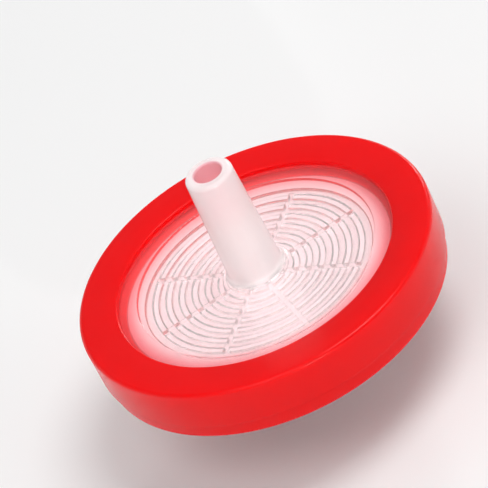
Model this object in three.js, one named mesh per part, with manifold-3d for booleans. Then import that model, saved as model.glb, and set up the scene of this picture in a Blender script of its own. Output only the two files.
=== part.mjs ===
// A syringe filter of the 25 mm class. Two clear polypropylene shells clamp a PTFE membrane at its rim, and
// a coloured polypropylene ring is moulded round the joint to seal it. Liquid enters a female luer lock,
// spreads over the membrane, and drains between concentric ribs to a male luer slip.
// Millimetres, +Z up and along the flow. The origin is the centre of the inlet's mouth, on which the part
// stands.

import * as THREE from "three";
import { mergeVertices } from "three/addons/utils/BufferGeometryUtils.js";
import Module from "manifold-3d";

const wasm = await Module();
wasm.setup();

// ---------------------------------------------------------------- Sizes, mm and degrees

// Luer fittings. The standard's taper is 6 %, so a diameter grows by 0.06 mm in each mm of length.
const luerTaper = 0.06;
const socketMouthDiameter = 4.29;
const socketDepth = 8.2;
const hubRadius = 3.225;
const hubDraft = 0.02; // growth of the radius per mm, from the mouth to the disc
const hubReach = 7.4; // from the ring's inlet face to the mouth
const throatRadius = 1.0;
const lugRadius = 3.915;
const lugSpan = 45; // degrees of arc
const lugCrest = 0.7; // thickness of a lug's crest at its thin end
const lugFlank = 25; // degrees, slope of the bearing side
const lugLead = 5.0; // advance per turn of the thread that the lugs follow
const tipRadius = 1.977;
const tipReach = 9.9; // from the ring's outlet face to the end of the tip
const outletBoreRadius = 1.15;

// The stack, from the inlet side up.
const inletRecess = 0.9; // ring's inlet face to the disc
const inletWall = 1.4;
const inletRibHeight = 0.35;
const membraneGap = 0.25; // inlet ribs to the membrane
const membraneThickness = 0.2;
const outletRibHeight = 0.35;
const outletWall = 1.05;
const outletRecess = 0.5; // disc to the ring's outlet face

// Radii, from the membrane out and in.
const membraneRadius = 11.2;
const membraneClearance = 0.1; // to the upstand round it
const upstandWall = 1.1;
const ringWall = 2.6; // ring outside the shells
const clampLand = 1.45; // width of the membrane's rim held between the shells
const bondGap = 0.02; // hairline between the shells and the ring moulded round them

// The ring.
const outletLipWidth = 0.7;
const inletLipWidth = 1.3;
const lipThickness = 1.0;
const rimDrop = 0.1; // the shells' rims end this far below the ring's faces
const ringDraft = 0.1; // the wall leans in by this much towards the ledge
const ledgeHeight = 1.45; // narrower band at the inlet side
const ledgeWidth = 0.28;
const bandDraft = 0.05;
const ringEdgeRound = 0.35;
const lipEdgeRound = 0.12;

// The shells' sloping shoulders, between the disc and the rim.
const outletFoot = 0.3; // from the chamber's wall out to the edge of the disc
const inletFoot = 0.05;
const footStep = 0.1; // height of the small step round the disc
const footStepWidth = 0.15;
const rimWidth = 0.3; // flat top of the rim, up to the ring

// Ribs and channels.
const outletRibPitch = 1.12;
const outletRibRoot = 0.6;
const outletRibCrest = 0.42;
const outletRibMargin = 0.65; // open gutter between the last rib and the chamber's wall
const channelCount = 8;
const channelFirst = 10; // degrees
const channelWidth = 0.45;
const inletRibPairs = 24; // a long rib and a short one in each pair
const inletRibWidth = 0.3;
const inletRibMargin = 0.4;
const longRibStart = 2.6;
const shortRibStart = 5.2;

// Rounded corners of the shells.
const footFillet = 0.7;
const mouthRound = 0.15;
const tipRound = 0.4;
const rimFillet = 0.1;

const rootOverlap = 0.1; // how far a rib's root runs into its disc
const turnSegments = 72;
const ribSegments = 40;
const filletChord = 0.2; // longest step round a fillet

// ---------------------------------------------------------------- Levels and radii that follow

const inletFaceZ = hubReach;
const inletDiscZ = inletFaceZ + inletRecess;
const inletFloorZ = inletDiscZ + inletWall;
const pocketZ = inletFloorZ + inletRibHeight + membraneGap;
const seatZ = pocketZ + membraneThickness;
const outletRoofZ = seatZ + outletRibHeight;
const outletDiscZ = outletRoofZ + outletWall;
const outletFaceZ = outletDiscZ + outletRecess;
const tipZ = outletFaceZ + tipReach;

const pocketRadius = membraneRadius + membraneClearance;
const shellRadius = pocketRadius + upstandWall;
const ringRadius = shellRadius + ringWall;
const chamberRadius = membraneRadius - clampLand;
const outletOpening = shellRadius - outletLipWidth;
const inletOpening = shellRadius - inletLipWidth;

// ---------------------------------------------------------------- Shaping helpers

// Points of a closed outline from its corners [r, z, round]; a corner with a round becomes an arc.
function outline(corners) {
  const points = [];
  corners.forEach(([r, z, round], i) => {
    const corner = new THREE.Vector2(r, z);
    if (!round) {
      points.push(corner);
      return;
    }
    const before = new THREE.Vector2(...corners.at(i - 1)).sub(corner);
    const after = new THREE.Vector2(...corners[(i + 1) % corners.length]).sub(corner);
    const half = Math.acos(before.dot(after) / (before.length() * after.length())) / 2;
    const room = Math.min(before.length(), after.length()) / 2;
    const cut = Math.min(round / Math.tan(half), room);
    const radius = cut * Math.tan(half);
    before.normalize();
    after.normalize();
    const centre = before.clone().add(after).setLength(radius / Math.sin(half)).add(corner);
    const start = before.multiplyScalar(cut).add(corner).sub(centre);
    const end = after.multiplyScalar(cut).add(corner).sub(centre);
    const turn = Math.atan2(start.cross(end), start.dot(end));
    const steps = Math.ceil(round / filletChord);
    for (let step = 0; step <= steps; step++) {
      const angle = (turn * step) / steps;
      points.push(start.clone().rotateAround(new THREE.Vector2(), angle).add(centre));
    }
  });
  points.push(points[0].clone());
  return points;
}

// Turns a closed outline about Z.
function turned(corners, segments) {
  return new THREE.LatheGeometry(outline(corners), segments).rotateX(Math.PI / 2);
}

// A closed geometry as a solid that can be joined and cut.
function solid(geometry) {
  const bare = geometry.clone();
  bare.deleteAttribute("normal");
  bare.deleteAttribute("uv");
  const merged = mergeVertices(bare, 1e-4);
  return new wasm.Manifold(
    new wasm.Mesh({
      numProp: 3,
      vertProperties: merged.attributes.position.array,
      triVerts: new Uint32Array(merged.index.array),
    }),
  );
}

// The solid back as a three.js geometry.
function geometryOf(body) {
  const mesh = body.getMesh();
  const geometry = new THREE.BufferGeometry();
  geometry.setAttribute("position", new THREE.BufferAttribute(mesh.vertProperties, 3));
  geometry.setIndex(new THREE.BufferAttribute(mesh.triVerts, 1));
  geometry.computeVertexNormals();
  return geometry;
}

// A box from radius r0 to r1 along the direction `degrees`, between two levels.
function spoke(degrees, r0, r1, width, z0, z1) {
  return new THREE.BoxGeometry(r1 - r0, width, z1 - z0)
    .translate((r0 + r1) / 2, 0, (z0 + z1) / 2)
    .rotateZ(THREE.MathUtils.degToRad(degrees));
}

// ---------------------------------------------------------------- Inlet shell

// One lug of the luer lock. Its bearing side climbs along the thread, and its other side is flush with the
// mouth.
function lug(middle) {
  const steps = 6;
  const rootRadius = hubRadius - mouthRound - rootOverlap;
  const flank = (lugRadius - rootRadius) * Math.tan(THREE.MathUtils.degToRad(lugFlank));
  const positions = [];
  const faces = [];
  for (let step = 0; step <= steps; step++) {
    const along = (lugSpan * step) / steps;
    const angle = THREE.MathUtils.degToRad(middle - lugSpan / 2 + along);
    const crest = lugCrest + (lugLead * along) / 360;
    const section = [
      [rootRadius, 0],
      [lugRadius, 0],
      [lugRadius, crest],
      [rootRadius, crest + flank],
    ];
    section.forEach(([r, z]) => positions.push(r * Math.cos(angle), r * Math.sin(angle), z));
  }
  for (let step = 0; step < steps; step++) {
    for (let side = 0; side < 4; side++) {
      const a = step * 4 + side;
      const b = step * 4 + ((side + 1) % 4);
      faces.push(a, b + 4, b, a, a + 4, b + 4);
    }
  }
  const last = steps * 4;
  faces.push(0, 1, 2, 0, 2, 3);
  faces.push(last, last + 2, last + 1, last, last + 3, last + 2);
  const geometry = new THREE.BufferGeometry();
  geometry.setAttribute("position", new THREE.Float32BufferAttribute(positions, 3));
  geometry.setIndex(faces);
  return geometry;
}

function inletShell() {
  const mouth = socketMouthDiameter / 2;
  const socketEnd = mouth - (socketDepth * luerTaper) / 2;
  const rimZ = inletFaceZ + rimDrop;
  const lipZ = inletFaceZ + lipThickness;
  const discRadius = chamberRadius + inletFoot;
  const rimRadius = inletOpening - bondGap;
  let body = solid(
    turned(
      [
        [throatRadius, inletFloorZ],
        [throatRadius, socketDepth],
        [socketEnd, socketDepth],
        [mouth, 0, mouthRound],
        [hubRadius, 0, mouthRound],
        [hubRadius + hubDraft * inletDiscZ, inletDiscZ, footFillet],
        [discRadius, inletDiscZ],
        [discRadius + footStepWidth, inletDiscZ - footStep],
        [rimRadius - rimWidth, rimZ, rimFillet],
        [rimRadius, rimZ],
        [rimRadius, lipZ],
        [shellRadius, lipZ],
        [shellRadius, seatZ],
        [pocketRadius, seatZ],
        [pocketRadius, pocketZ],
        [chamberRadius, pocketZ],
        [chamberRadius, inletFloorZ],
      ],
      turnSegments,
    ),
  );
  for (const middle of [0, 180]) {
    body = body.add(solid(lug(middle)));
  }
  const ribEnd = chamberRadius - inletRibMargin;
  const halfPitch = 180 / inletRibPairs;
  for (let pair = 0; pair < inletRibPairs; pair++) {
    const angle = pair * 2 * halfPitch;
    const low = inletFloorZ - rootOverlap;
    const high = inletFloorZ + inletRibHeight;
    body = body.add(solid(spoke(angle, longRibStart, ribEnd, inletRibWidth, low, high)));
    body = body.add(solid(spoke(angle + halfPitch, shortRibStart, ribEnd, inletRibWidth, low, high)));
  }
  return geometryOf(body);
}

// ---------------------------------------------------------------- Membrane

function membrane() {
  return new THREE.CylinderGeometry(membraneRadius, membraneRadius, membraneThickness, turnSegments)
    .rotateX(Math.PI / 2)
    .translate(0, 0, pocketZ + membraneThickness / 2);
}

// ---------------------------------------------------------------- Outlet shell

// Concentric support ribs under the disc, wider at the root than at the crest, with the channels cut through.
function supportRibs() {
  const innerLimit = outletBoreRadius + outletRibMargin / 2;
  const outerLimit = chamberRadius - outletRibMargin;
  const rings = [];
  let radius = outerLimit - outletRibRoot / 2;
  while (radius - outletRibRoot / 2 > innerLimit) {
    const corners = [
      [radius - outletRibCrest / 2, seatZ],
      [radius + outletRibCrest / 2, seatZ],
      [radius + outletRibRoot / 2, outletRoofZ],
      [radius + outletRibRoot / 2, outletRoofZ + rootOverlap],
      [radius - outletRibRoot / 2, outletRoofZ + rootOverlap],
      [radius - outletRibRoot / 2, outletRoofZ],
    ];
    rings.push(solid(turned(corners, ribSegments)));
    radius -= outletRibPitch;
  }
  let ribs = rings.reduce((joined, ring) => joined.add(ring));
  const low = seatZ - rootOverlap;
  const high = outletRoofZ + 2 * rootOverlap;
  for (let channel = 0; channel < channelCount; channel++) {
    const angle = channelFirst + (360 * channel) / channelCount;
    const cutter = spoke(angle, outletBoreRadius, outerLimit + rootOverlap, channelWidth, low, high);
    ribs = ribs.subtract(solid(cutter));
  }
  return ribs;
}

function outletShell() {
  const tubeFoot = tipRadius + ((tipZ - outletDiscZ) * luerTaper) / 2;
  const rimZ = outletFaceZ - rimDrop;
  const lipZ = outletFaceZ - lipThickness;
  const discRadius = chamberRadius + outletFoot;
  const rimRadius = outletOpening - bondGap;
  const body = solid(
    turned(
      [
        [outletBoreRadius, outletRoofZ],
        [chamberRadius, outletRoofZ],
        [chamberRadius, seatZ],
        [shellRadius, seatZ],
        [shellRadius, lipZ],
        [rimRadius, lipZ],
        [rimRadius, rimZ],
        [rimRadius - rimWidth, rimZ, rimFillet],
        [discRadius + footStepWidth, outletDiscZ + footStep],
        [discRadius, outletDiscZ],
        [tubeFoot, outletDiscZ, footFillet],
        [tipRadius, tipZ, tipRound],
        [outletBoreRadius, tipZ, mouthRound],
      ],
      turnSegments,
    ),
  );
  return geometryOf(body.add(supportRibs()));
}

// ---------------------------------------------------------------- Overmoulded ring

function overmouldRing() {
  const groove = shellRadius + bondGap;
  const ledgeZ = inletFaceZ + ledgeHeight;
  const ledgeOuter = ringRadius - ringDraft;
  const bandOuter = ledgeOuter - ledgeWidth;
  const corners = [
    [inletOpening, inletFaceZ + lipThickness - bondGap],
    [inletOpening, inletFaceZ, lipEdgeRound],
    [bandOuter - bandDraft, inletFaceZ, ringEdgeRound],
    [bandOuter, ledgeZ, lipEdgeRound],
    [ledgeOuter, ledgeZ, lipEdgeRound],
    [ringRadius, outletFaceZ, ringEdgeRound],
    [outletOpening, outletFaceZ, lipEdgeRound],
    [outletOpening, outletFaceZ - lipThickness + bondGap],
    [groove, outletFaceZ - lipThickness + bondGap],
    [groove, inletFaceZ + lipThickness - bondGap],
  ];
  return turned(corners, turnSegments);
}

// ---------------------------------------------------------------- Materials and assembly

const clearPolypropylene = new THREE.MeshStandardMaterial({
  color: 0xf3e6e6,
  roughness: 0.18,
  metalness: 0,
  transparent: true,
  opacity: 0.45,
});
const redPolypropylene = new THREE.MeshStandardMaterial({ color: 0xe11a1c, roughness: 0.32, metalness: 0 });
const whiteMembrane = new THREE.MeshStandardMaterial({ color: 0xf6f4f2, roughness: 0.8, metalness: 0 });

const filter = new THREE.Group();

function place(name, geometry, material) {
  const mesh = new THREE.Mesh(geometry, material);
  mesh.name = name;
  filter.add(mesh);
}

place("inlet_shell", inletShell(), clearPolypropylene);
place("membrane", membrane(), whiteMembrane);
place("outlet_shell", outletShell(), clearPolypropylene.clone());
place("overmould_ring", overmouldRing(), redPolypropylene);

export default filter;
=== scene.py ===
import math

import bmesh
import bpy
from bpy.props import FloatProperty, FloatVectorProperty, IntProperty, PointerProperty
from mathutils import Matrix, Vector


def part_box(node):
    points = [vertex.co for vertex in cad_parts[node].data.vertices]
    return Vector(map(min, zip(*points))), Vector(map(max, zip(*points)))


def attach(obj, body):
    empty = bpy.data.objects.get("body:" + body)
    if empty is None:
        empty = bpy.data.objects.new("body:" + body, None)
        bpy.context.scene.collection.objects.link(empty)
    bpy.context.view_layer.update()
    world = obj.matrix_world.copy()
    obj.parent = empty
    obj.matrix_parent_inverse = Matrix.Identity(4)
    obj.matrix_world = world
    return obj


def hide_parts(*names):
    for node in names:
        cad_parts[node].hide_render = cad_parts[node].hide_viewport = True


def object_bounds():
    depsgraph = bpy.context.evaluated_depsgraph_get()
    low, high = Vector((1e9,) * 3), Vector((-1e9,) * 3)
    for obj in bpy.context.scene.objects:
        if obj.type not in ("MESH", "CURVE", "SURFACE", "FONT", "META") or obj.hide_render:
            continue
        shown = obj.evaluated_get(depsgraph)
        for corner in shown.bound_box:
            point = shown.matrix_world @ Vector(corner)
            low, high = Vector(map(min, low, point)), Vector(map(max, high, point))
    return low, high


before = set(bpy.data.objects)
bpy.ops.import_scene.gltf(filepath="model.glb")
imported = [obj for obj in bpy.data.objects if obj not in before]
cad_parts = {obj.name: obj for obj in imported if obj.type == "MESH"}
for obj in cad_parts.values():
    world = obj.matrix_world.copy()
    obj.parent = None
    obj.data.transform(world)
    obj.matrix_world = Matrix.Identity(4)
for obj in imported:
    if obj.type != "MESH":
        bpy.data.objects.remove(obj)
cad_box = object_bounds()

bl_info = {
    "name": "Syringe Filter",
    "version": (1, 0, 0),
    "blender": (4, 5, 0),
    "location": "View3D > Sidebar > Syringe Filter",
    "description": "Builds the clear shells, the membrane and the moulded ring of a syringe filter",
    "category": "Object",
}

MM = 0.001
BODY = "root"

TURN_SEGMENTS = 256  # round the axis
LUG_STEPS = 24  # along one lug
FILM_RINGS = 8  # from the membrane's centre to its rim
ARC_STEP = 0.035  # mm, longest step round a fillet
RIB_ROOT_ROUND = 0.05  # mm, on the concentric ribs
RIB_CREST_ROUND = 0.06  # mm
BOND = 0.01  # mm, how far a bonded face lies inside its neighbour, so that no air shows there
AIR_FILM = 0.01  # mm, between the membrane and the shells that press on it
OVERLAP = 0.1  # mm, how far a joined or cutting shape reaches past the face that it starts from
MERGE = 0.0005  # mm, points closer than this are one
SMOOTH_ANGLE = math.radians(28)  # a steeper edge stays crisp


# ---------------------------------------------------------------- Levels and radii of the frame, mm

def node_levels(node):
    """Lowest and highest level of a CAD node, and its radius, in millimetres."""
    low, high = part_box(node)
    return low.z / MM, high.z / MM, high.x / MM


RING_LOW, RING_HIGH, _ = node_levels("overmould_ring")
POCKET_Z, SEAT_Z, MEMBRANE_RADIUS = node_levels("membrane")
_, TIP_Z, SHELL_RADIUS = node_levels("outlet_shell")
MIDDLE_Z = (RING_LOW + RING_HIGH) / 2


# ---------------------------------------------------------------- Colours

def linear(hex_colour):
    """An sRGB hex colour as linear red, green and blue."""
    parts = [int(hex_colour[i:i + 2], 16) / 255 for i in (1, 3, 5)]
    return [c / 12.92 if c <= 0.04045 else ((c + 0.055) / 1.055) ** 2.4 for c in parts]


def length(name, description, size):
    """A length property whose default is given in millimetres."""
    return FloatProperty(
        name=name, description=description, default=size * MM, min=0.0, unit="LENGTH", precision=5
    )


def colour(name, description, hex_colour):
    """A colour property whose default is an sRGB hex value."""
    return FloatVectorProperty(
        name=name, description=description, default=linear(hex_colour), min=0.0, max=1.0, subtype="COLOR"
    )


# ---------------------------------------------------------------- Properties

class RingSizes(bpy.types.PropertyGroup):
    """Sizes of the moulded ring."""

    wall: length("Wall", "Thickness of the ring outside the shells", 2.6)
    outlet_lip: length("Outlet lip", "Width of the lip over the outlet shell", 0.7)
    inlet_lip: length("Inlet lip", "Width of the lip over the inlet shell", 1.3)
    lip_thickness: length("Lip thickness", "Thickness of both lips", 1.0)
    edge_round: length("Edge round", "Radius of the two outer edges", 0.35)
    lip_round: length("Lip round", "Radius of the lips' edges", 0.12)
    draft: length("Draft", "How far the wall leans in towards the ledge", 0.1)
    ledge_height: length("Ledge height", "Height of the narrower band", 1.45)
    ledge_width: length("Ledge width", "How far the band stands back", 0.28)
    band_draft: length("Band draft", "How far the band leans in", 0.05)


class ShellSizes(bpy.types.PropertyGroup):
    """Sizes of the two clear shells."""

    clamp_land: length("Clamp land", "Width of the membrane's rim that the shells hold", 1.45)
    pocket_clearance: length("Pocket clearance", "Gap between the membrane and the upstand round it", 0.1)
    inlet_recess: length("Inlet recess", "Depth of the inlet disc below the ring's face", 0.9)
    inlet_wall: length("Inlet wall", "Thickness of the inlet disc", 1.4)
    outlet_wall: length("Outlet wall", "Thickness of the outlet disc", 1.05)
    inlet_foot: length("Inlet foot", "From the chamber's wall out to the edge of the inlet disc", 0.05)
    outlet_foot: length("Outlet foot", "From the chamber's wall out to the edge of the outlet disc", 0.3)
    inlet_rim_drop: length("Inlet rim drop", "Depth of the inlet shell's rim below the ring's face", 0.1)
    outlet_rim_drop: length("Outlet rim drop", "Depth of the outlet shell's rim below the ring's face", 0.4)
    rim_width: length("Rim width", "Width of the flat rim", 0.3)
    step_height: length("Step height", "Height of the step round the disc", 0.14)
    step_width: length("Step width", "Width of the step round the disc", 0.08)
    edge_round: length("Edge round", "Radius of the shoulders' corners", 0.1)
    foot_fillet: length("Foot fillet", "Radius where the hub and the tip meet their discs", 0.7)


class LuerSizes(bpy.types.PropertyGroup):
    """Sizes of the two luer fittings."""

    taper: FloatProperty(name="Taper", description="Growth of a diameter per length", default=0.06, min=0.0)
    mouth_radius: length("Mouth radius", "Radius of the socket at its mouth", 2.145)
    socket_depth: length("Socket depth", "Depth of the socket", 8.2)
    throat_radius: length("Throat radius", "Radius of the passage behind the socket", 1.0)
    hub_radius: length("Hub radius", "Outside radius of the hub at its mouth", 3.225)
    hub_draft: FloatProperty(
        name="Hub draft", description="Growth of the hub's radius per length", default=0.02, min=0.0
    )
    mouth_round: length("Mouth round", "Radius of the mouth's edges", 0.15)
    lug_radius: length("Lug radius", "Reach of the lock's lugs from the axis", 3.915)
    lug_crest: length("Lug crest", "Thickness of a lug's crest at its thin end", 0.7)
    lug_lead: length("Lug lead", "Advance of the thread in one turn", 5.0)
    lug_span: FloatProperty(
        name="Lug span", description="Arc of one lug", default=math.radians(44.8), subtype="ANGLE",
    )
    lug_flank: FloatProperty(
        name="Lug flank", description="Slope of a lug's bearing side", default=math.radians(25),
        subtype="ANGLE",
    )
    tip_radius: length("Tip radius", "Radius of the outlet tip at its end", 1.977)
    tip_round: length("Tip round", "Radius of the tip's outer edge", 0.4)
    bore_radius: length("Bore radius", "Radius of the bore in the tip", 1.15)


class RibSizes(bpy.types.PropertyGroup):
    """Sizes of the ribs and channels inside the shells."""

    support_height: length("Support rib height", "Height of the concentric ribs", 0.35)
    support_pitch: length("Support rib pitch", "Spacing of the concentric ribs", 1.12)
    support_root: length("Support rib root", "Width of a concentric rib at its root", 0.6)
    support_crest: length("Support rib crest", "Width of a concentric rib at its crest", 0.42)
    gutter: length("Gutter", "Open width between the last concentric rib and the wall", 0.65)
    channel_count: IntProperty(name="Channels", description="Number of radial channels", default=8, min=1)
    channel_first: FloatProperty(
        name="First channel", description="Direction of the first channel", default=math.radians(10),
        subtype="ANGLE",
    )
    channel_width: length("Channel width", "Width of a radial channel", 0.45)
    channel_sink: length("Channel sink", "How far a channel is cut into the disc", 0.04)
    spreader_pairs: IntProperty(
        name="Spreader pairs", description="Pairs of a long and a short radial rib on the inlet disc",
        default=24, min=1,
    )
    spreader_height: length("Spreader height", "Height of the radial ribs", 0.35)
    spreader_width: length("Spreader width", "Width of a radial rib", 0.3)
    spreader_margin: length("Spreader margin", "Open width between the radial ribs and the wall", 0.4)
    long_start: length("Long rib start", "Radius at which a long radial rib starts", 2.6)
    short_start: length("Short rib start", "Radius at which a short radial rib starts", 5.2)


class FilterColours(bpy.types.PropertyGroup):
    """Colours of the filter and its stage. Some of the shells' colours and the membrane's pink are painted
    light.
    """

    ring: colour("Ring", "Red of the moulded ring", "#E2090E")
    ring_deep: colour("Ring, deep", "Darker red where the melt met", "#DA080C")
    shell: colour("Shell", "Tint of the clear shells", "#FEF9F9")
    # Painted glow: the rims' pink stands in for the ring's red light seen through the clear plastic.
    shell_rim_painted_glow: colour("Shell, rim", "Tint of the shells where the ring glows through them", "#FAA8AE")
    # Painted light: the seam's red is brighter than the ring's own, to light up a place that lies in shade.
    seam_melt_and_painted_light: colour("Shell, seam", "Red of the melt that reached the seam between the shells", "#FF0D13")
    # Painted glow: the bore's pink stands in for the ring's red light piped up the tip.
    shell_bore_painted_glow: colour("Shell, bore", "Tint of the bore, which gathers the ring's light", "#F2B4BC")
    shell_pass: colour("Shell, passed", "Part of a lamp's light that one face lets through", "#F0E9E9")
    rim_pass: colour("Shell rim, passed", "The same at the shells' rims, which pass red best", "#FFDADA")
    # The membrane's white carries a faint pink, painted in for the ring's red light that bounces onto it.
    membrane: colour("Membrane", "White of the membrane", "#F7EAEE")
    floor: colour("Floor", "Colour of the floor", "#F4F4F4")


# ---------------------------------------------------------------- Shaping, in millimetres

def outline(corners):
    """Points of a closed outline. A corner is (r, z) or (r, z, round), and a round becomes an arc."""
    points = []
    for i, (r, z, *rounding) in enumerate(corners):
        corner = Vector((r, z))
        if not rounding:
            points.append(corner)
            continue
        before = Vector(corners[i - 1][:2]) - corner
        after = Vector(corners[(i + 1) % len(corners)][:2]) - corner
        half = before.angle(after) / 2
        cut = min(rounding[0] / math.tan(half), before.length / 2, after.length / 2)
        radius = cut * math.tan(half)
        middle = (before.normalized() + after.normalized()).normalized() * (radius / math.sin(half))
        start = before.normalized() * cut - middle
        end = after.normalized() * cut - middle
        turn = start.angle_signed(end)
        steps = max(2, math.ceil(radius * abs(turn) / ARC_STEP))
        for step in range(steps + 1):
            points.append(corner + middle + Matrix.Rotation(-turn * step / steps, 2) @ start)
    return points


def mesh_of(name, vertices, faces):
    """A new mesh from vertices in millimetres and faces."""
    mesh = bpy.data.meshes.new(name)
    mesh.from_pydata(vertices, [], faces)
    mesh.update()
    return mesh


def outward(mesh):
    """The mesh with its faces turned to point out."""
    work = bmesh.new()
    work.from_mesh(mesh)
    bmesh.ops.recalc_face_normals(work, faces=work.faces)
    work.to_mesh(mesh)
    work.free()
    return mesh


def turned(name, corners):
    """A mesh turned about Z from a closed outline."""
    points = outline(corners)
    count = len(points)
    vertices = []
    faces = []
    for segment in range(TURN_SEGMENTS):
        angle = math.tau * segment / TURN_SEGMENTS
        vertices += [(p.x * math.cos(angle), p.x * math.sin(angle), p.y) for p in points]
        here = segment * count
        there = (segment + 1) % TURN_SEGMENTS * count
        for i in range(count):
            j = (i + 1) % count
            faces.append((here + i, there + i, there + j, here + j))
    return outward(mesh_of(name, vertices, faces))


def spokes(name, angles, start, end, width, low, high):
    """One mesh of separate bars that run outwards from radius start to radius end at each angle."""
    vertices = []
    faces = []
    for angle in angles:
        along = Vector((math.cos(angle), math.sin(angle)))
        across = Vector((-along.y, along.x)) * (width / 2)
        first = len(vertices)
        for z in (low, high):
            for corner in (
                along * start - across, along * end - across, along * end + across, along * start + across
            ):
                vertices.append((corner.x, corner.y, z))
        for face in ((3, 2, 1, 0), (4, 5, 6, 7), (0, 1, 5, 4), (1, 2, 6, 5), (2, 3, 7, 6), (3, 0, 4, 7)):
            faces.append([first + i for i in face])
    return mesh_of(name, vertices, faces)


def combined(mesh, tool_mesh, operation):
    """The mesh joined with or cut by the tool mesh, without the slivers that this leaves."""
    base = bpy.data.objects.new("base", mesh)
    tool = bpy.data.objects.new("tool", tool_mesh)
    for item in (base, tool):
        bpy.context.scene.collection.objects.link(item)
    modifier = base.modifiers.new("combine", "BOOLEAN")
    modifier.object = tool
    modifier.operation = operation
    modifier.solver = "EXACT"
    bpy.context.view_layer.update()
    result = bpy.data.meshes.new_from_object(base.evaluated_get(bpy.context.evaluated_depsgraph_get()))
    result.name = mesh.name
    work = bmesh.new()
    work.from_mesh(result)
    bmesh.ops.remove_doubles(work, verts=work.verts, dist=MERGE)
    bmesh.ops.dissolve_degenerate(work, edges=work.edges, dist=MERGE)
    work.to_mesh(result)
    work.free()
    for item in (base, tool):
        bpy.data.objects.remove(item)
    for old in (mesh, tool_mesh):
        bpy.data.meshes.remove(old)
    return result


def add_piece(name, mesh, node, material):
    """Puts a finished mesh into the scene in place of its CAD node."""
    mesh.transform(Matrix.Scale(MM, 4))
    mesh.shade_smooth()
    mesh.set_sharp_from_angle(angle=SMOOTH_ANGLE)
    mesh.materials.clear()
    mesh.materials.append(material)
    piece = bpy.data.objects.new(name, mesh)
    bpy.context.scene.collection.objects.link(piece)
    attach(piece, BODY)
    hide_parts(node)


# ---------------------------------------------------------------- Materials

def add_node(tree, kind, settings=None, links=None):
    """Adds a node, sets its properties and inputs, and links outputs into its inputs."""
    node = tree.nodes.new(kind)
    for key, value in (settings or {}).items():
        if isinstance(key, str) and hasattr(node, key):
            setattr(node, key, value)
        else:
            node.inputs[key].default_value = value
    for key, source in (links or {}).items():
        tree.links.new(source, node.inputs[key])
    return node


def new_material(name):
    """An empty node material and its tree."""
    material = bpy.data.materials.new(name)
    material.use_nodes = True
    material.node_tree.nodes.clear()
    return material, material.node_tree


def rgba(rgb):
    """A colour with full alpha."""
    return (*rgb, 1.0)


def red_polypropylene(colours):
    """Polypropylene overmoulded in a polished tool: an even, glossy red in which light spreads."""
    material, tree = new_material("red_polypropylene_moulded")
    where = add_node(tree, "ShaderNodeTexCoord").outputs["Object"]
    # Flow of the melt leaves the colour a little uneven over about 4 mm.
    cloud = add_node(tree, "ShaderNodeTexNoise", {"Scale": 1 / (4 * MM), "Detail": 3.0}, {"Vector": where})
    reach = add_node(
        tree, "ShaderNodeMapRange", {"From Min": 0.35, "From Max": 0.75, "To Min": 0.0, "To Max": 0.5},
        {"Value": cloud.outputs["Fac"]},
    )
    blend = add_node(
        tree, "ShaderNodeMix", {"data_type": "RGBA", 6: rgba(colours.ring), 7: rgba(colours.ring_deep)},
        {0: reach.outputs["Result"]},
    )
    # Shrinkage over the thick wall leaves the surface wavy over about 3 mm, and handling dulls the crests.
    wave = add_node(tree, "ShaderNodeTexNoise", {"Scale": 1 / (3 * MM), "Detail": 0.0}, {"Vector": where})
    rough = add_node(
        tree, "ShaderNodeMapRange", {"From Min": 0.1, "From Max": 0.9, "To Min": 0.2, "To Max": 0.26},
        {"Value": wave.outputs["Fac"]},
    )
    bump = add_node(
        tree, "ShaderNodeBump", {"Strength": 0.3, "Distance": 0.03 * MM}, {"Height": wave.outputs["Fac"]}
    )
    shader = add_node(
        tree, "ShaderNodeBsdfPrincipled",
        {
            "IOR": 1.49, "Metallic": 0.0, "Specular IOR Level": 0.2, "Subsurface Weight": 1.0,
            "Subsurface Radius": (1.0, 0.05, 0.05), "Subsurface Scale": 4 * MM,
        },
        {
            "Base Color": blend.outputs[2],
            "Roughness": rough.outputs["Result"],
            "Normal": bump.outputs["Normal"],
        },
    )
    add_node(tree, "ShaderNodeOutputMaterial", links={"Surface": shader.outputs["BSDF"]})
    return material


# Where the shells' tint and clearness change, as the start and end of each ramp, in mm from the axis.
BORE_RADII = (1.2, 1.35)  # the surface of the bore ends
FITTING_RADII = (4.0, 5.0)  # the walls of the hub and the tip end
GLOW_RADII = (9.7, 11.2)  # the painted glow of the ring's red comes in, from the disc to the rim
SEAM_RADII = (11.15, 11.3)  # the seam between the shells begins, outside the membrane's pocket
# The same in mm from MIDDLE_Z, up or down.
SEAM_HEIGHTS = (1.0, 1.3)  # the seam's red fades out
FITTING_HEIGHTS = (2.02, 2.4)  # the discs end, and the hub and the tip begin
BORE_HEIGHTS = (7.0, 10.0)  # the bore nears its end

DISC_CLEARNESS = 0.92  # share of the light that goes straight on
FITTING_MILKINESS = 0.56  # taken off the clearness
SEAM_MELT = 0.9  # taken off the clearness, and the share of the melt's red, painted brighter than the ring, in the tint


def shell_places(tree, where):
    """Distance of a point from the axis, and from the level halfway up the ring."""
    level = add_node(tree, "ShaderNodeVectorMath", {"operation": "MULTIPLY", 1: (1.0, 1.0, 0.0)}, {0: where})
    radius = add_node(tree, "ShaderNodeVectorMath", {"operation": "LENGTH"}, {0: level.outputs["Vector"]})
    height = add_node(tree, "ShaderNodeSeparateXYZ", links={0: where})
    above = add_node(
        tree, "ShaderNodeMath", {"operation": "SUBTRACT", 1: MIDDLE_Z * MM}, {0: height.outputs["Z"]}
    )
    away = add_node(tree, "ShaderNodeMath", {"operation": "ABSOLUTE"}, {0: above.outputs["Value"]})
    return radius.outputs["Value"], away.outputs["Value"]


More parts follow.
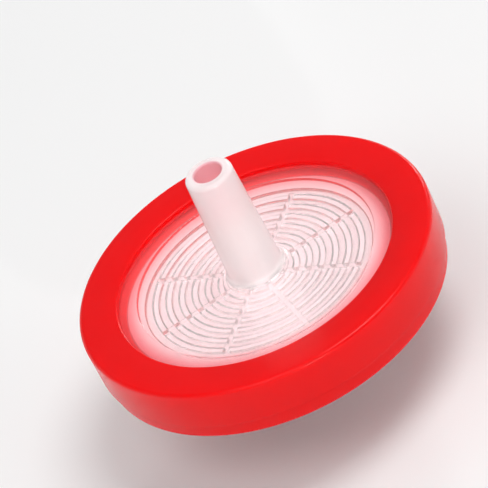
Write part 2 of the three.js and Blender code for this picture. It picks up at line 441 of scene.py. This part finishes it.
def seam_melt_and_painted_light(tree, radius, away):
    """How far a point lies in the seam between the shells, which the ring's melt fills. Its red is painted
    brighter than the ring's, as painted light where the lip shades it.
    """
    low, high = SEAM_HEIGHTS
    inside = add_node(
        tree, "ShaderNodeMapRange",
        {"From Min": low * MM, "From Max": high * MM, "To Min": SEAM_MELT, "To Max": 0.0},
        {"Value": away},
    )
    inner, outer = SEAM_RADII
    seam = add_node(
        tree, "ShaderNodeMapRange", {"From Min": inner * MM, "From Max": outer * MM, "To Min": 0.0},
        {"Value": radius, "To Max": inside.outputs["Result"]},
    )
    return seam.outputs["Result"]


def shell_clearness(tree, radius, away, seam):
    """How much light goes straight through: less in the fittings' milky walls, and least in the seam."""
    low, high = FITTING_HEIGHTS
    thick = add_node(
        tree, "ShaderNodeMapRange",
        {"From Min": low * MM, "From Max": high * MM, "To Min": 0.0, "To Max": FITTING_MILKINESS},
        {"Value": away},
    )
    inner, outer = FITTING_RADII
    fitting = add_node(
        tree, "ShaderNodeMapRange", {"From Min": inner * MM, "From Max": outer * MM, "To Max": 0.0},
        {"Value": radius, "To Min": thick.outputs["Result"]},
    )
    milky = add_node(
        tree, "ShaderNodeMath", {"operation": "ADD"}, {0: seam, 1: fitting.outputs["Result"]}
    )
    through = add_node(
        tree, "ShaderNodeMath", {"operation": "SUBTRACT", 0: DISC_CLEARNESS}, {1: milky.outputs["Value"]}
    )
    return through.outputs["Value"]


def shell_tint(tree, colours, radius, away, glow, seam):
    """Colour of the shells: nearly white, with a painted pink glow at the rim and round the bore's end, and a
    seam red painted brighter than the ring.
    """
    pink = add_node(
        tree, "ShaderNodeMix", {"data_type": "RGBA", 6: rgba(colours.shell), 7: rgba(colours.shell_rim_painted_glow)},
        {0: glow},
    )
    plain = add_node(
        tree, "ShaderNodeMix", {"data_type": "RGBA", 7: rgba(colours.seam_melt_and_painted_light)},
        {0: seam, 6: pink.outputs[2]},
    )
    # Painted glow: the end of the outlet bore is tinted pink, standing in for the ring's red light gathered
    # there.
    low, high = BORE_HEIGHTS
    end = add_node(
        tree, "ShaderNodeMapRange", {"From Min": low * MM, "From Max": high * MM}, {"Value": away}
    )
    inner, outer = BORE_RADII
    bore = add_node(
        tree, "ShaderNodeMapRange", {"From Min": inner * MM, "From Max": outer * MM, "To Max": 0.0},
        {"Value": radius, "To Min": end.outputs["Result"]},
    )
    tint = add_node(
        tree, "ShaderNodeMix", {"data_type": "RGBA", 7: rgba(colours.shell_bore_painted_glow)},
        {0: bore.outputs["Result"], 6: plain.outputs[2]},
    )
    return tint.outputs[2]


def clear_polypropylene(colours):
    """Natural polypropylene moulded in a polished tool: clear in the thin discs, milky in the fittings."""
    name = "natural_polypropylene_moulded"
    if name in bpy.data.materials:
        return bpy.data.materials[name]
    material, tree = new_material(name)
    where = add_node(tree, "ShaderNodeTexCoord").outputs["Object"]
    radius, away = shell_places(tree, where)
    # Painted glow: a pink tint stands in for the ring's red light in the shells' rims, and fades over 1.5 mm
    # to the disc.
    inner, outer = GLOW_RADII
    glow = add_node(
        tree, "ShaderNodeMapRange", {"From Min": inner * MM, "From Max": outer * MM}, {"Value": radius}
    ).outputs["Result"]
    seam = seam_melt_and_painted_light(tree, radius, away)
    # Shrinkage leaves the surface a little wavy over about 2.5 mm, and the haze uneven over about 2 mm.
    wave = add_node(tree, "ShaderNodeTexNoise", {"Scale": 1 / (2.5 * MM), "Detail": 1.0}, {"Vector": where})
    bump = add_node(
        tree, "ShaderNodeBump", {"Strength": 0.1, "Distance": 0.015 * MM}, {"Height": wave.outputs["Fac"]}
    )
    haze = add_node(tree, "ShaderNodeTexNoise", {"Scale": 1 / (2 * MM), "Detail": 1.0}, {"Vector": where})
    rough = add_node(
        tree, "ShaderNodeMapRange", {"From Min": 0.1, "From Max": 0.9, "To Min": 0.1, "To Max": 0.2},
        {"Value": haze.outputs["Fac"]},
    )
    shader = add_node(
        tree, "ShaderNodeBsdfPrincipled", {"IOR": 1.49, "Metallic": 0.0},
        {
            "Base Color": shell_tint(tree, colours, radius, away, glow, seam),
            "Roughness": rough.outputs["Result"],
            "Normal": bump.outputs["Normal"],
            "Transmission Weight": shell_clearness(tree, radius, away, seam),
        },
    )
    # A lamp shines through the shells. Each face takes off what it reflects and scatters.
    passed = add_node(
        tree, "ShaderNodeMix", {"data_type": "RGBA", 6: rgba(colours.shell_pass), 7: rgba(colours.rim_pass)},
        {0: glow},
    )
    clear = add_node(tree, "ShaderNodeBsdfTransparent", links={"Color": passed.outputs[2]})
    path = add_node(tree, "ShaderNodeLightPath")
    mix = add_node(
        tree, "ShaderNodeMixShader",
        links={0: path.outputs["Is Shadow Ray"], 1: shader.outputs["BSDF"], 2: clear.outputs["BSDF"]},
    )
    add_node(tree, "ShaderNodeOutputMaterial", links={"Surface": mix.outputs["Shader"]})
    return material


def ptfe_membrane(colours):
    """Expanded PTFE film: a matte white, tinted faint pink as painted bounce light from the ring, with a fine
    felt of fibres.
    """
    material, tree = new_material("ptfe_film_expanded")
    where = add_node(tree, "ShaderNodeTexCoord").outputs["Object"]
    # The pores are far too fine to show, so the felt is drawn at 0.3 mm.
    felt = add_node(tree, "ShaderNodeTexNoise", {"Scale": 1 / (0.3 * MM), "Detail": 4.0}, {"Vector": where})
    tone = add_node(
        tree, "ShaderNodeMapRange", {"From Min": 0.3, "From Max": 0.7, "To Min": 0.96, "To Max": 1.0},
        {"Value": felt.outputs["Fac"]},
    )
    tint = add_node(
        tree, "ShaderNodeMix",
        {"data_type": "RGBA", "blend_type": "MULTIPLY", 0: 1.0, 6: rgba(colours.membrane)},
        {7: tone.outputs["Result"]},
    )
    bump = add_node(
        tree, "ShaderNodeBump", {"Strength": 0.2, "Distance": 0.02 * MM}, {"Height": felt.outputs["Fac"]}
    )
    shader = add_node(
        tree, "ShaderNodeBsdfPrincipled", {"IOR": 1.35, "Metallic": 0.0, "Roughness": 0.85},
        {"Base Color": tint.outputs[2], "Normal": bump.outputs["Normal"]},
    )
    add_node(tree, "ShaderNodeOutputMaterial", links={"Surface": shader.outputs["BSDF"]})
    return material


# ---------------------------------------------------------------- Operators

class FILTER_OT_ring(bpy.types.Operator):
    """Builds the ring that is moulded round both shells"""

    bl_idname = "filter.ring"
    bl_label = "Build ring"

    def execute(self, context):
        """Turns the ring's section, whose inner faces are bonded to the shells and lie a hair inside them."""
        size = context.scene.filter_ring
        lip = size.lip_thickness / MM + BOND
        groove = SHELL_RADIUS - BOND
        outer = SHELL_RADIUS + size.wall / MM
        outlet_opening = SHELL_RADIUS - size.outlet_lip / MM - BOND
        inlet_opening = SHELL_RADIUS - size.inlet_lip / MM - BOND
        ledge_z = RING_LOW + size.ledge_height / MM
        ledge_outer = outer - size.draft / MM
        band_outer = ledge_outer - size.ledge_width / MM
        edge = size.edge_round / MM
        small = size.lip_round / MM
        mesh = turned("overmould", [
            (inlet_opening, RING_LOW + lip),
            (inlet_opening, RING_LOW, small),
            (band_outer - size.band_draft / MM, RING_LOW, edge),
            (band_outer, ledge_z, small),
            (ledge_outer, ledge_z, small),
            (outer, RING_HIGH, edge),
            (outlet_opening, RING_HIGH, small),
            (outlet_opening, RING_HIGH - lip),
            (groove, RING_HIGH - lip),
            (groove, RING_LOW + lip),
        ])
        add_piece("ring", mesh, "overmould_ring", red_polypropylene(context.scene.filter_colours))
        return {"FINISHED"}


class FILTER_OT_inlet_shell(bpy.types.Operator):
    """Builds the clear shell with the female luer lock"""

    bl_idname = "filter.inlet_shell"
    bl_label = "Build inlet shell"

    def execute(self, context):
        """Turns the shell, then joins its lugs and its radial ribs."""
        shell, luer, rib = context.scene.filter_shell, context.scene.filter_luer, context.scene.filter_rib
        ring = context.scene.filter_ring
        chamber = MEMBRANE_RADIUS - shell.clamp_land / MM
        disc_z = RING_LOW + shell.inlet_recess / MM
        floor_z = disc_z + shell.inlet_wall / MM
        rim_z = RING_LOW + shell.inlet_rim_drop / MM
        lip_z = RING_LOW + ring.lip_thickness / MM
        rim = SHELL_RADIUS - ring.inlet_lip / MM
        disc = chamber + shell.inlet_foot / MM
        pocket = MEMBRANE_RADIUS + shell.pocket_clearance / MM
        mouth = luer.mouth_radius / MM
        depth = luer.socket_depth / MM
        hub = luer.hub_radius / MM
        small = shell.edge_round / MM
        mouth_round = luer.mouth_round / MM
        mesh = turned("inlet", [
            (luer.throat_radius / MM, floor_z),
            (luer.throat_radius / MM, depth),
            (mouth - depth * luer.taper / 2, depth),
            (mouth, 0, mouth_round),
            (hub, 0, mouth_round),
            (hub + luer.hub_draft * disc_z, disc_z, shell.foot_fillet / MM),
            (disc, disc_z, small),
            (disc + shell.step_width / MM, disc_z - shell.step_height / MM, small),
            (rim - shell.rim_width / MM, rim_z, small),
            (rim, rim_z),
            (rim, lip_z),
            (SHELL_RADIUS, lip_z),
            (SHELL_RADIUS, SEAT_Z + BOND),
            (pocket, SEAT_Z + BOND),
            (pocket, POCKET_Z),
            (chamber, POCKET_Z),
            (chamber, floor_z, small),
        ])
        for middle in (0, math.pi):
            mesh = combined(mesh, self.lug(luer, middle), "UNION")
        pitch = math.tau / rib.spreader_pairs
        low = floor_z - OVERLAP
        high = floor_z + rib.spreader_height / MM
        end = chamber - rib.spreader_margin / MM
        width = rib.spreader_width / MM
        for start, phase in ((rib.long_start / MM, 0.0), (rib.short_start / MM, 0.5)):
            angles = [pitch * (i + phase) for i in range(rib.spreader_pairs)]
            mesh = combined(mesh, spokes("spreaders", angles, start, end, width, low, high), "UNION")
        material = clear_polypropylene(context.scene.filter_colours)
        add_piece("inlet", mesh, "inlet_shell", material)
        return {"FINISHED"}

    def lug(self, luer, middle):
        """One lug of the luer lock, whose bearing side climbs along the thread."""
        root = (luer.hub_radius - luer.mouth_round) / MM - OVERLAP
        reach = luer.lug_radius / MM
        flank = (reach - root) * math.tan(luer.lug_flank)
        vertices = []
        faces = []
        for step in range(LUG_STEPS + 1):
            along = luer.lug_span * step / LUG_STEPS
            angle = middle - luer.lug_span / 2 + along
            crest = (luer.lug_crest + luer.lug_lead * along / math.tau) / MM
            for r, z in ((root, 0.0), (reach, 0.0), (reach, crest), (root, crest + flank)):
                vertices.append((r * math.cos(angle), r * math.sin(angle), z))
        for step in range(LUG_STEPS):
            for side in range(4):
                a = step * 4 + side
                b = step * 4 + (side + 1) % 4
                faces.append((a, a + 4, b + 4, b))
        faces += [(0, 1, 2, 3), tuple(LUG_STEPS * 4 + i for i in (3, 2, 1, 0))]
        return outward(mesh_of("lug", vertices, faces))


class FILTER_OT_membrane(bpy.types.Operator):
    """Builds the membrane between the shells"""

    bl_idname = "filter.membrane"
    bl_label = "Build membrane"

    def execute(self, context):
        """Builds both faces of the film from rings about its centre, and its rim between them."""
        levels = (SEAT_Z - AIR_FILM, POCKET_Z + AIR_FILM)
        segments = TURN_SEGMENTS
        sheet = FILM_RINGS * segments
        vertices = [(0.0, 0.0, level) for level in levels]
        for level in levels:
            for ring in range(1, FILM_RINGS + 1):
                radius = MEMBRANE_RADIUS * ring / FILM_RINGS
                for segment in range(segments):
                    angle = math.tau * segment / segments
                    vertices.append((radius * math.cos(angle), radius * math.sin(angle), level))
        faces = []
        for side in range(len(levels)):
            first = len(levels) + side * sheet
            for segment in range(segments):
                follow = (segment + 1) % segments
                faces.append((side, first + segment, first + follow))
                for ring in range(FILM_RINGS - 1):
                    a = first + ring * segments
                    b = a + segments
                    faces.append((a + segment, b + segment, b + follow, a + follow))
        rim = len(levels) + (FILM_RINGS - 1) * segments
        for segment in range(segments):
            follow = (segment + 1) % segments
            faces.append((rim + segment, rim + sheet + segment, rim + sheet + follow, rim + follow))
        mesh = outward(mesh_of("membrane", vertices, faces))
        add_piece("film", mesh, "membrane", ptfe_membrane(context.scene.filter_colours))
        return {"FINISHED"}


class FILTER_OT_outlet_shell(bpy.types.Operator):
    """Builds the clear shell with the male luer slip"""

    bl_idname = "filter.outlet_shell"
    bl_label = "Build outlet shell"

    def execute(self, context):
        """Turns the shell with its concentric ribs, then cuts the radial channels."""
        shell, luer, rib = context.scene.filter_shell, context.scene.filter_luer, context.scene.filter_rib
        ring = context.scene.filter_ring
        chamber = MEMBRANE_RADIUS - shell.clamp_land / MM
        roof_z = SEAT_Z + rib.support_height / MM
        disc_z = roof_z + shell.outlet_wall / MM
        rim_z = RING_HIGH - shell.outlet_rim_drop / MM
        lip_z = RING_HIGH - ring.lip_thickness / MM
        rim = SHELL_RADIUS - ring.outlet_lip / MM
        disc = chamber + shell.outlet_foot / MM
        bore = luer.bore_radius / MM
        tip = luer.tip_radius / MM
        small = shell.edge_round / MM
        gutter = rib.gutter / MM
        root = rib.support_root / MM / 2
        crest = rib.support_crest / MM / 2
        ribs = []
        radius = chamber - gutter - root
        while radius - root > bore + gutter / 2:
            ribs.insert(0, radius)
            radius -= rib.support_pitch / MM
        corners = [(bore, roof_z)]
        for radius in ribs:
            corners += [
                (radius - root, roof_z, RIB_ROOT_ROUND),
                (radius - crest, SEAT_Z, RIB_CREST_ROUND),
                (radius + crest, SEAT_Z, RIB_CREST_ROUND),
                (radius + root, roof_z, RIB_ROOT_ROUND),
            ]
        corners += [
            (chamber, roof_z, small),
            (chamber, SEAT_Z),
            (SHELL_RADIUS, SEAT_Z),
            (SHELL_RADIUS, lip_z),
            (rim, lip_z),
            (rim, rim_z),
            (rim - shell.rim_width / MM, rim_z, small),
            (disc + shell.step_width / MM, disc_z + shell.step_height / MM, small),
            (disc, disc_z, small),
            (tip + (TIP_Z - disc_z) * luer.taper / 2, disc_z, shell.foot_fillet / MM),
            (tip, TIP_Z, luer.tip_round / MM),
            (bore, TIP_Z, luer.mouth_round / MM),
        ]
        mesh = turned("outlet", corners)
        angles = [rib.channel_first + math.tau * i / rib.channel_count for i in range(rib.channel_count)]
        cutter = spokes(
            "channels", angles, bore, chamber - gutter, rib.channel_width / MM,
            SEAT_Z - OVERLAP, roof_z + rib.channel_sink / MM,
        )
        mesh = combined(mesh, cutter, "DIFFERENCE")
        material = clear_polypropylene(context.scene.filter_colours)
        add_piece("outlet", mesh, "outlet_shell", material)
        return {"FINISHED"}


# Soft boxes: name, azimuth and elevation in degrees, then distance and width in metres, and power in watts.
SOFT_BOXES = (
    ("key", -15, 68, 0.4, 0.22, 0.68),
    ("fill", 240, 52, 0.45, 0.3, 0.45),
    ("rim", 62, 22, 0.45, 0.07, 0.26),
)


def direction(azimuth, elevation):
    """Unit vector that points to an azimuth and an elevation, both in degrees."""
    a, e = math.radians(azimuth), math.radians(elevation)
    return Vector((math.cos(a) * math.cos(e), math.sin(a) * math.cos(e), math.sin(e)))


def aimed(context, name, data, target, back, distance):
    """A new lamp or camera, backed off from its target and turned to look at it."""
    item = bpy.data.objects.new(name, data)
    item.location = target + back * distance
    item.rotation_mode = "QUATERNION"
    item.rotation_quaternion = (-back).to_track_quat("-Z", "Y")
    context.scene.collection.objects.link(item)
    return item


class FILTER_OT_stage(bpy.types.Operator):
    """Lays the floor and sets the lamps, the world and the camera"""

    bl_idname = "filter.stage"
    bl_label = "Set stage"

    def execute(self, context):
        """Builds everything that isn't part of the filter."""
        self.floor(context)
        self.lamps(context)
        self.world(context)
        self.camera(context)
        context.scene.view_settings.view_transform = "Standard"
        return {"FINISHED"}

    def floor(self, context):
        """A large floor of pale paper, which can't be seen from below."""
        half = 3.0  # m
        corners = [(-half, -half, 0), (half, -half, 0), (half, half, 0), (-half, half, 0)]
        mesh = bpy.data.meshes.new("floor")
        mesh.from_pydata(corners, [], [(0, 1, 2, 3)])
        material, tree = new_material("floor_paper")
        shader = add_node(
            tree, "ShaderNodeBsdfPrincipled",
            {"Base Color": rgba(context.scene.filter_colours.floor), "Roughness": 0.8},
        )
        clear = add_node(tree, "ShaderNodeBsdfTransparent")
        side = add_node(tree, "ShaderNodeNewGeometry")
        mix = add_node(
            tree, "ShaderNodeMixShader",
            links={0: side.outputs["Backfacing"], 1: shader.outputs["BSDF"], 2: clear.outputs["BSDF"]},
        )
        add_node(tree, "ShaderNodeOutputMaterial", links={"Surface": mix.outputs["Shader"]})
        mesh.materials.append(material)
        floor = bpy.data.objects.new("floor", mesh)
        context.scene.collection.objects.link(floor)

    def lamps(self, context):
        """Three soft boxes on the filter's middle, and a narrow spot on its tip."""
        low, high = cad_box
        lamps = []
        for name, azimuth, elevation, distance, width, power in SOFT_BOXES:
            box = bpy.data.lights.new(name, "AREA")
            box.shape = "DISK"
            box.size = width
            box.energy = power
            back = direction(azimuth, elevation)
            lamps.append(aimed(context, name, box, (low + high) / 2, back, distance))
        # The tip is whiter than anything round it.
        spot = bpy.data.lights.new("spot", "SPOT")
        spot.energy = 13.0
        spot.spot_size = math.radians(2.2)
        spot.spot_blend = 0.6
        spot.shadow_soft_size = 0.02
        below_tip = Vector((0, 0, (TIP_Z - 4) * MM))
        lamps.append(aimed(context, "spot", spot, below_tip, direction(-84, 12), 0.35))
        for lamp in lamps:
            lamp.visible_camera = False
            lamp.visible_transmission = False

    def world(self, context):
        """An even pale surround, whose upper part is darker in reflections, as a room is above a backdrop."""
        sky_strength = 0.46
        backdrop_top, room_bottom = 0.15, 0.5  # upward part of a ray's direction
        room_strength = 0.25
        world = bpy.data.worlds.new("surround")
        world.use_nodes = True
        tree = world.node_tree
        tree.nodes.clear()
        path = add_node(tree, "ShaderNodeLightPath")
        sky = add_node(
            tree, "ShaderNodeBackground", {"Color": (1.0, 1.0, 1.0, 1.0), "Strength": sky_strength}
        )
        where = add_node(tree, "ShaderNodeTexCoord").outputs["Generated"]
        height = add_node(tree, "ShaderNodeSeparateXYZ", links={0: where})
        room = add_node(
            tree, "ShaderNodeMapRange",
            {"From Min": backdrop_top, "From Max": room_bottom, "To Min": 1.0, "To Max": room_strength},
            {"Value": height.outputs["Z"]},
        )
        level = add_node(
            tree, "ShaderNodeMix", {"data_type": "FLOAT", 2: 1.0},
            {0: path.outputs["Is Glossy Ray"], 3: room.outputs["Result"]},
        )
        backdrop = add_node(
            tree, "ShaderNodeBackground", {"Color": rgba(context.scene.filter_colours.floor)},
            {"Strength": level.outputs[0]},
        )
        # The backdrop shows to the eye, in reflections and through the shells, and adds no light of its own.
        seen = add_node(
            tree, "ShaderNodeMath", {"operation": "LESS_THAN", 1: 0.5}, {0: path.outputs["Diffuse Depth"]}
        )
        mix = add_node(
            tree, "ShaderNodeMixShader",
            links={0: seen.outputs["Value"], 1: sky.outputs["Background"], 2: backdrop.outputs["Background"]},
        )
        add_node(tree, "ShaderNodeOutputWorld", links={"Surface": mix.outputs["Shader"]})
        context.scene.world = world

    def camera(self, context):
        """A long lens that looks down on the outlet side, rolled so that the axis leans to the left."""
        elevation = math.radians(35.85)
        roll = math.radians(27.09)
        target = Vector((0, 0, 0.0145))  # m, between the ring and the tip
        view_width = 0.0385  # m, at the target
        data = bpy.data.cameras.new("camera")
        data.lens = 800
        data.clip_start, data.clip_end = 0.01, 20
        back = Vector((0, -math.cos(elevation), math.sin(elevation)))
        camera = aimed(context, "camera", data, target, back, view_width * data.lens / data.sensor_width)
        turn = Matrix.Rotation(-roll, 3, "Z").to_quaternion()
        camera.rotation_quaternion = camera.rotation_quaternion @ turn
        context.scene.camera = camera


class FILTER_PT_panel(bpy.types.Panel):
    """Lists the operators and properties in the sidebar"""

    bl_label = "Syringe Filter"
    bl_idname = "FILTER_PT_panel"
    bl_space_type = "VIEW_3D"
    bl_region_type = "UI"
    bl_category = "Syringe Filter"

    def draw(self, context):
        """Draws one button for each operator, then the properties."""
        for operator in OPERATORS:
            self.layout.operator(operator.bl_idname)
        for group in GROUPS:
            box = self.layout.box()
            box.label(text=GROUPS[group].__doc__)
            for name in GROUPS[group].__annotations__:
                box.prop(getattr(context.scene, group), name)


OPERATORS = (
    FILTER_OT_ring,
    FILTER_OT_inlet_shell,
    FILTER_OT_membrane,
    FILTER_OT_outlet_shell,
    FILTER_OT_stage,
)
GROUPS = {
    "filter_ring": RingSizes,
    "filter_shell": ShellSizes,
    "filter_luer": LuerSizes,
    "filter_rib": RibSizes,
    "filter_colours": FilterColours,
}


def register():
    """Registers the classes and hangs the property groups on the scene."""
    for cls in (*GROUPS.values(), *OPERATORS, FILTER_PT_panel):
        bpy.utils.register_class(cls)
    for name, group in GROUPS.items():
        setattr(bpy.types.Scene, name, PointerProperty(type=group))


def unregister():
    """Takes everything that register() added away again."""
    for name in GROUPS:
        delattr(bpy.types.Scene, name)
    for cls in (FILTER_PT_panel, *reversed(OPERATORS), *reversed(GROUPS.values())):
        bpy.utils.unregister_class(cls)


def main():
    """Builds the pieces and the stage."""
    register()
    bpy.ops.filter.ring()
    bpy.ops.filter.inlet_shell()
    bpy.ops.filter.membrane()
    bpy.ops.filter.outlet_shell()
    bpy.ops.filter.stage()


if __name__ == "__main__":
    main()
